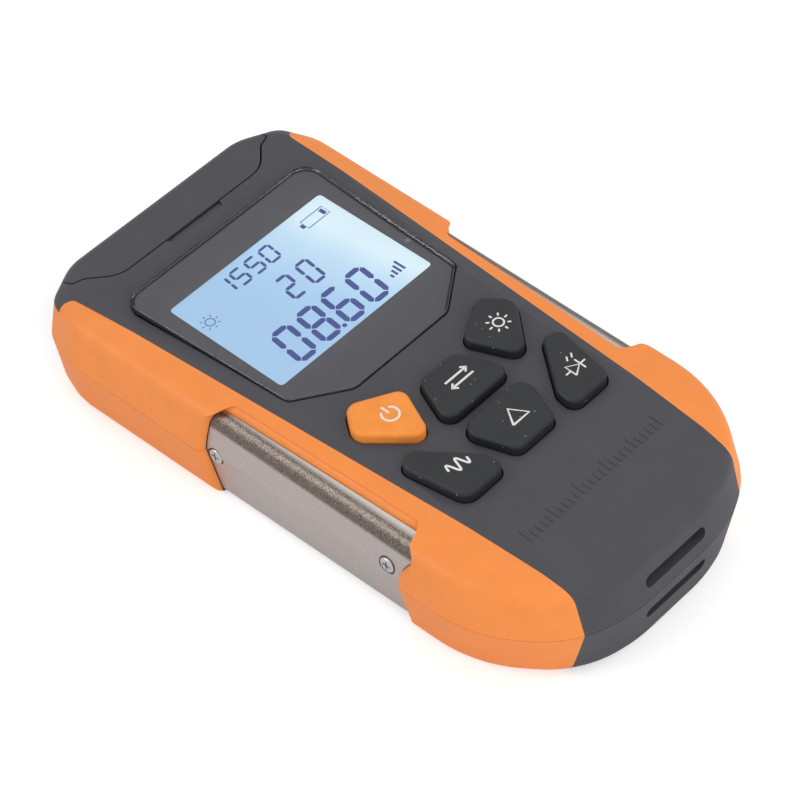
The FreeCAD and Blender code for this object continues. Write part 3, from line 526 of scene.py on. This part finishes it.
def figures(text, corner, width, height, bar, pitch):
    """Strokes of a row of figures, one pitch apart, from the lower left corner of the first."""
    strokes = []
    for i, digit in enumerate(text):
        strokes += figure(digit, np.array(corner) + np.array([i * pitch, 0.0]), width, height, bar)
    return strokes


print("an eight lights", len(figure("8", (0, 0), 3, 5, 1)), "bars")


# %% Arcs and a ring with rays
def arc(centre, radius, start, end, count=24):
    """Points on a circle from one angle to another, in degrees."""
    angle = np.radians(np.linspace(start, end, count))
    return np.stack([centre[0] + radius * np.cos(angle), centre[1] + radius * np.sin(angle)], 1)


def sun(centre, radius, ray, width):
    """A ring with eight rays of length ray, which start at one and a half times its radius."""
    strokes = [(arc(centre, radius, 0, 345), width, True)]
    ray_start = radius * 1.5
    for angle in np.radians(np.arange(0, 360, 45)):
        way = np.array([math.cos(angle), math.sin(angle)])
        strokes.append((np.array([centre + way * ray_start, centre + way * (ray_start + ray)]), width, False))
    return strokes


print("a ring with rays has", len(sun(np.array([0.0, 0.0]), 1, 1, 0.1)), "strokes")

# %% The picture on the display
# Places and sizes on the display are in millimetres, from its middle, read along +X
small = {"width": 2.9, "height": 4.7, "bar": 0.68, "pitch": 4.4}
medium = {"width": 3.1, "height": 6.8, "bar": 0.82, "pitch": 6.0}
large = {"width": 4.5, "height": 9.7, "bar": 1.35, "pitch": 7.45}
thin_line = 0.22
display_strokes = figures("1550", (-11.8, 10.3), **small)
display_strokes += figures("20", (-2.9, -1.2), **medium)
display_strokes += figures("08", (-15.1, -14.8), **large)
display_strokes += figures("60", (-0.3, -14.8), **large)
decimal_point = arc((-1.8, -14.6), 0.28, 0, 345, 16)
display_strokes.append((decimal_point, 0.55, True))
display_strokes += sun(np.array([-19.5, 8.0]), radius=1.1, ray=0.6, width=thin_line)
battery_y = 12.85
battery_box = np.array([(14.2, 11.5), (20.8, 11.5), (20.8, 14.2), (14.2, 14.2)])
battery_tip = np.array([(13.2, battery_y), (14.1, battery_y)])
battery_charge = np.array([(19.3, battery_y), (20.3, battery_y)])
display_strokes += [(battery_box, thin_line, True), (battery_tip, 1.3, False), (battery_charge, 1.8, False)]
for step in range(4):  # four bars for the level of the light, each a step taller
    level_x, level_low, level_high = 15.2 + 1.15 * step, -13.0, -11.9 + 0.75 * step
    display_strokes.append((np.array([(level_x, level_low), (level_x, level_high)]), 0.6, False))
scaled = [(points * MM + view_middle[:2], np.asarray(widths) * MM, closed)
          for points, widths, closed in display_strokes]
bars_low, bars_thick = view_high[2] + 0.02 * MM, 0.03 * MM
bar_vertices, bar_faces = stroke_mesh(scaled, lambda x, y: np.full_like(x, bars_low), bars_thick)
display_bars = make_object("display_bars", bar_vertices, bar_faces, bar_ink)
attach(display_bars, "housing")

# %% [markdown]
# ## Print behind the pane
# The back of the pane is printed dark, except over the display. The print is a flat ring between the
# pane's own outline and a window with rounded corners. Both outlines can be seen whole from the
# display's middle, so each is fully told by its distance from there in every direction, and the two
# pair up angle by angle. Beside the display a small round spot marks the light sensor.

# %% Outlines told by their reach
def rounded_box(half_x, half_y, radius):
    """Points round a rectangle: a quarter circle of the radius at each corner, anticlockwise."""
    quarter = np.radians(np.linspace(0, 90, 12))
    corners = []
    for turn_by, sign_x, sign_y in ((0, 1, 1), (90, -1, 1), (180, -1, -1), (270, 1, -1)):
        angle = quarter + math.radians(turn_by)
        corners.append(np.stack([sign_x * (half_x - radius) + radius * np.cos(angle),
                                 sign_y * (half_y - radius) + radius * np.sin(angle)], 1))
    return np.concatenate(corners)


def reach_of(outline, angles):
    """Distance from the origin to a closed outline in each direction. Each side is divided into equal
    parts, and the distances of the divided points are interpolated over their angles."""
    parts = 40
    t = np.arange(parts)[None, :, None] / parts
    ahead_points = np.roll(outline, -1, 0)
    points = (outline[:, None] * (1 - t) + ahead_points[:, None] * t).reshape(-1, 2)
    return np.interp(angles, np.arctan2(points[:, 1], points[:, 0]), np.hypot(*points.T), period=2 * math.pi)


def flat_ring(inner, outer, low, high):
    """A closed ring between two outlines with as many points each, from height low to height high."""
    count = len(inner)
    rings = [np.column_stack([outline, np.full(count, z)])
             for outline, z in ((outer, low), (outer, high), (inner, high), (inner, low))]
    i = np.arange(count)
    j = (i + 1) % count
    faces = [np.stack([a * count + i, a * count + j, b * count + j, b * count + i], 1)
             for a, b in ((0, 1), (1, 2), (2, 3), (3, 0))]
    return np.concatenate(rings), np.concatenate(faces).tolist()


corner_reach = reach_of(rounded_box(1, 1, 0.1), np.radians([45.0]))[0]
print("a rounded square of 2 by 2 reaches %.3f towards its corner" % corner_reach)

# %% The printed ring
pane = nodes["display_window"]
pane_back = float(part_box("display_window")[0][2])
spots = np.empty(len(pane.data.vertices) * 3)
pane.data.vertices.foreach_get("co", spots)
spots = spots.reshape(-1, 3) @ np.array(pane.matrix_world)[:3, :3].T + np.array(pane.matrix_world)[:3, 3]
rim = spots[np.abs(spots[:, 2] - pane_back) < 0.01 * MM][:, :2] - view_middle[:2]
rim = rim[np.argsort(np.arctan2(rim[:, 1], rim[:, 0]))]
angles = np.radians(np.arange(0, 360, 0.5))
ways = np.stack([np.cos(angles), np.sin(angles)], 1)
window_half_x, window_half_y, window_corner = 23.0 * MM, 16.85 * MM, 0.9 * MM
print_margin = 0.9 * MM  # between the print and the rim of the pane
print_low, print_top = pane_back + 0.01 * MM, pane_back + 0.03 * MM
window_outline = rounded_box(window_half_x, window_half_y, window_corner)
inner = view_middle[:2] + ways * reach_of(window_outline, angles)[:, None]
outer = view_middle[:2] + ways * (reach_of(rim, angles) - print_margin)[:, None]
ring_vertices, ring_faces = flat_ring(inner, outer, print_low, print_top)
pane_ring = make_object("pane_print_ring", ring_vertices, ring_faces, pane_print)
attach(pane_ring, "housing")

# %% The light sensor
sensor_grey = moulded("sensor_grey", srgb(128, 130, 136), 0.4, depth=0.001 * MM, spread=0.02)
sensor_at = np.array([24.9, 20.1]) * MM
sensor_radius, sensor_width = 0.33 * MM, 0.64 * MM  # a ring so wide that it closes to a spot
sensor_low, sensor_thick = print_top + 0.01 * MM, 0.02 * MM
sensor_ring = stroke_mesh([(sensor_at + arc((0, 0), sensor_radius, 0, 345), sensor_width, True)],
                          lambda x, y: np.full_like(x, sensor_low), sensor_thick)
light_sensor = make_object("light_sensor", *sensor_ring, sensor_grey)
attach(light_sensor, "housing")

# %% [markdown]
# ## A finish for every part
# The pieces of the construction keep their shape, and each has a material slot. To dress a part is to
# put a material into its slot. Parts made of one stuff share one material, so the list below reads
# like a parts list: one line for a stuff, and the parts made of it.

# %% Give each part its finish
finish_of = {
    dark_shell: ("front_shell", "rear_shell", "port_cover", "battery_door"),
    soft_orange: ("grip_front_right", "grip_front_left", "grip_rear_port_right", "grip_rear_port_left",
                  "grip_rear_end_right", "grip_rear_end_left"),
    plate_paint: ("side_plate_right", "side_plate_left"),
    screw_steel: ("side_screws", "case_screws", "hinge_pin", "port_screws", "board_screws"),
    nickel: ("port_adapter", "detector"),
    contact_metal: ("cell_plates", "cell_springs", "key_domes"),
    inner_plastic: ("port_panel", "detector_block", "lcd_holder"),
    ceramic: ("port_sleeve",),
    lens_clear: ("torch_lens",),
    lamp_clear: ("torch_led",),
    pane_clear: ("display_window",),
    tape_black: ("window_tape",),
    display_ground: ("lcd_panel", "backlight"),
    mat_rubber: ("keypad_mat",),
    dark_key: ("key_light", "key_unit", "key_reference", "key_wavelength", "key_led"),
    orange_key: ("key_power",),
    board_green: ("main_board",),
    chip_black: ("board_chips",),
    cell_wrap: ("battery_cells",),
}
for material, names in finish_of.items():
    for name in names:
        for slot in nodes[name].material_slots:
            slot.material = material
print("finished", sum(len(names) for names in finish_of.values()), "of", len(nodes))

# %% [markdown]
# ## Signs on the keys
# Each key has a simple printed sign for what it does: a power ring, a lamp, two arrows that swap, a
# triangle for a difference, a wave and a light-emitting diode. Words could stand there instead, but
# signs read the same in every language. They lie on the keys' crowned tops.

# %% Lines and arrows
sign_white = moulded("sign_white", srgb(232, 232, 230), 0.5, depth=0.002 * MM, spread=0.02)


def line(*points):
    """A path through the points."""
    return np.array(points, float)


def arrow(x0, x1, y, head):
    """A straight arrow from x0 to x1 with a head of two strokes."""
    back = x1 - math.copysign(head, x1 - x0)
    side = head * 0.8
    return [line((x0, y), (x1, y)), line((back, y + side), (x1, y), (back, y - side))]


print("an arrow has", len(arrow(-1, 1, 0, 0.3)), "strokes")

# %% A sign on each key
wave_x = np.linspace(-2.6, 2.6, 33)
wave_y = 1.5 * np.sin(wave_x * math.pi / 1.3)
# For each key, in millimetres: the sign's middle on the face, the width of its strokes, and its paths
signs = {
    "key_power": ((-15.9, -13.4), 0.5, [arc((0, 0), 1.9, 125, 415), line((0, 0.4), (0, 2.6))]),
    "key_light": ((17.3, -13.2), 0.4, [arc((0, 0), 1.2, 0, 360)] + [
        line((1.9 * math.cos(a), 1.9 * math.sin(a)), (2.7 * math.cos(a), 2.7 * math.sin(a)))
        for a in np.radians(np.arange(0, 360, 45))]),
    "key_unit": ((0.5, -17.4), 0.5, arrow(-3.2, 3.2, 1.0, 1.1) + arrow(3.2, -3.2, -1.0, 1.1)),
    "key_reference": ((0.6, -32.7), 0.5, [line((-2.4, -1.7), (2.4, -1.7), (0, 2.1), (-2.4, -1.7))]),
    "key_wavelength": ((-16.8, -32.8), 0.5, [np.stack([wave_x, wave_y], 1)]),
    "key_led": ((18.3, -33.6), 0.38, [line((-1.5, -1.6), (1.1, 0), (-1.5, 1.6), (-1.5, -1.6)),
                                    line((1.4, -1.6), (1.4, 1.6)), line((-3.0, 0), (-1.5, 0)),
                                    line((1.4, 0), (2.9, 0)), line((0.1, 2.3), (0.9, 3.3)),
                                    line((1.5, 2.3), (2.3, 3.3))]),
}
sign_sunk, sign_thick = 0.02 * MM, 0.06 * MM
for key, (middle, width, paths) in signs.items():
    strokes = [((path + middle) * MM, width * MM, False) for path in paths]
    vertices, faces = stroke_mesh(strokes, lambda x, y: face_height(y) + key_rise - sign_sunk, sign_thick)
    sign = make_object("sign_" + key[4:], vertices, faces, sign_white)
    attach(sign, key + "_body")

# %% [markdown]
# ## A raised scale
# Below the keys the housing carries a row of low raised marks, like the divisions of a ruler: every
# fifth one is longer. A bump in the finish could suggest them, but real edges catch the light from
# every side. They belong to the moulding, so they have its finish.

# %% Raised marks below the keys
mark_count, mark_pitch, mark_low = 26, 1.6 * MM, -55.4 * MM
short_mark, long_mark, mark_width = 2.0 * MM, 3.4 * MM, 0.45 * MM
mark_sunk, mark_thick = 0.05 * MM, 0.2 * MM
mark_strokes = []
for i in range(mark_count):
    mark_x = (i - (mark_count - 1) / 2) * mark_pitch
    mark_high = mark_low + (long_mark if i % 5 == 0 else short_mark)
    mark_strokes.append((np.array([(mark_x, mark_low), (mark_x, mark_high)]), mark_width, False))
mark_vertices, mark_faces = stroke_mesh(mark_strokes, lambda x, y: face_height(y) - mark_sunk, mark_thick)
raised_marks = make_object("raised_marks", mark_vertices, mark_faces, dark_shell)
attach(raised_marks, "housing")

# %% [markdown]
# ## Studio
# The meter lies on a plain pale floor. The floor glows only for the camera, so it turns white there
# and still keeps the shadow; brighter lamps would whiten it too, but they would wash out the meter.
# It lies a hair under the meter, whose back would flicker against a floor in the same plane.

# %% Floor
scene = bpy.context.scene
scene.view_settings.view_transform = "Standard"
half, floor_z, floor_glow = 4.0, -0.05 * MM, 0.42
floor_mat, floor_tree, floor_shader = new_finish("floor_white", grey(0.86), roughness=0.9)
floor_noise = object_noise(floor_tree, scale=30)
floor_tint = ramp(floor_tree, floor_noise.outputs["Fac"], [(0.3, grey(0.85)), (0.7, grey(0.87))])
floor_tree.links.new(floor_tint.outputs["Color"], floor_shader.inputs["Base Color"])
floor_corners = [(x, y, floor_z) for x, y in ((-half, -half), (half, -half), (half, half), (-half, half))]
floor = make_object("floor", floor_corners, [[0, 1, 2, 3]], floor_mat)
floor_rays = floor_tree.nodes.new("ShaderNodeLightPath")
seen = floor_tree.nodes.new("ShaderNodeMath")
seen.operation = "MULTIPLY"
seen.inputs[1].default_value = floor_glow
floor_tree.links.new(floor_rays.outputs["Is Camera Ray"], seen.inputs[0])
floor_tree.links.new(seen.outputs[0], floor_shader.inputs["Emission Strength"])
floor_shader.inputs["Emission Color"].default_value = grey(1.0)

# %% [markdown]
# ## Surround
# Round about there is only white. The camera, reflections and clear parts see it at full strength,
# while the parts are lit by a weaker one, so that they keep their depth.

# %% Surround
surround_seen, surround_even = 1.0, 0.58
world = bpy.data.worlds.new("surround")
scene.world = world
world.use_nodes = True
world_tree = world.node_tree
world_tree.nodes.clear()
out = world_tree.nodes.new("ShaderNodeOutputWorld")
seen_light = world_tree.nodes.new("ShaderNodeBackground")
seen_light.inputs["Strength"].default_value = surround_seen
even_light = world_tree.nodes.new("ShaderNodeBackground")
even_light.inputs["Strength"].default_value = surround_even
pick = world_tree.nodes.new("ShaderNodeMixShader")
rays = world_tree.nodes.new("ShaderNodeLightPath")
camera_or_glossy = world_tree.nodes.new("ShaderNodeMath")
camera_or_glossy.operation = "MAXIMUM"
world_tree.links.new(rays.outputs["Is Camera Ray"], camera_or_glossy.inputs[0])
world_tree.links.new(rays.outputs["Is Glossy Ray"], camera_or_glossy.inputs[1])
seen_at_all = world_tree.nodes.new("ShaderNodeMath")
seen_at_all.operation = "MAXIMUM"
world_tree.links.new(camera_or_glossy.outputs[0], seen_at_all.inputs[0])
world_tree.links.new(rays.outputs["Is Transmission Ray"], seen_at_all.inputs[1])
world_tree.links.new(seen_at_all.outputs[0], pick.inputs["Fac"])
world_tree.links.new(even_light.outputs[0], pick.inputs[1])
world_tree.links.new(seen_light.outputs[0], pick.inputs[2])
world_tree.links.new(pick.outputs[0], out.inputs["Surface"])
print("surround seen at", surround_seen, "and lighting at", surround_even)

# %% [markdown]
# ## Lamps
# Four large soft lamps light the face and the near side about equally. Small lamps would do it too,
# but with hard shadows. The two low ones don't show in reflections: seen from the port end, the pane
# would mirror them and hide the display.

# %% Lamps
def softbox(name, place, size, power, mirrored):
    """A square lamp at place that faces the origin; mirrored says whether reflections show it."""
    light = bpy.data.lights.new(name, "AREA")
    light.size = size
    light.energy = power
    lamp = bpy.data.objects.new(name, light)
    lamp.location = place
    lamp.rotation_euler = (-Vector(place)).to_track_quat("-Z", "Y").to_euler()
    lamp.visible_glossy = mirrored
    scene.collection.objects.link(lamp)
    print(name, power, "W")


# Places and sizes in metres, power in watts
softbox("lamp_left", (-0.85, 0.6, 0.85), size=0.7, power=4.5, mirrored=True)
softbox("lamp_front", (-0.35, -1.2, 0.7), size=0.9, power=7.5, mirrored=False)
softbox("lamp_right", (1.0, -0.7, 0.7), size=0.8, power=5, mirrored=False)
softbox("lamp_top", (0.3, 0.1, 1.2), size=0.8, power=1.0, mirrored=True)

# %% [markdown]
# ## Camera
# A long lens from the near left corner, rolled a little, so the meter lies across the picture. Three
# angles could turn the camera, but they are hard to picture. Here it is turned by naming what is
# right, down and ahead for it. These are the columns of its matrix, with down and ahead turned round,
# because a camera looks along its own -Z.

# %% Camera
camera = bpy.data.objects.new("camera", bpy.data.cameras.new("camera"))
scene.collection.objects.link(camera)
scene.camera = camera
camera.data.sensor_width = 36.0
camera.data.lens = 136.9125
eye = (-0.296467, -0.317720, 0.492267)
right = np.array([0.68222503, -0.72854977, -0.0615162])
down = np.array([-0.57002794, -0.47731513, -0.66875886])
ahead = np.array([0.4578615, 0.49130999, -0.74093005])
turn = Matrix(np.column_stack([right, -down, -ahead]).tolist()).to_4x4()
camera.matrix_world = Matrix.Translation(eye) @ turn
print("camera at", eye, "with a lens of", round(camera.data.lens, 1), "mm")
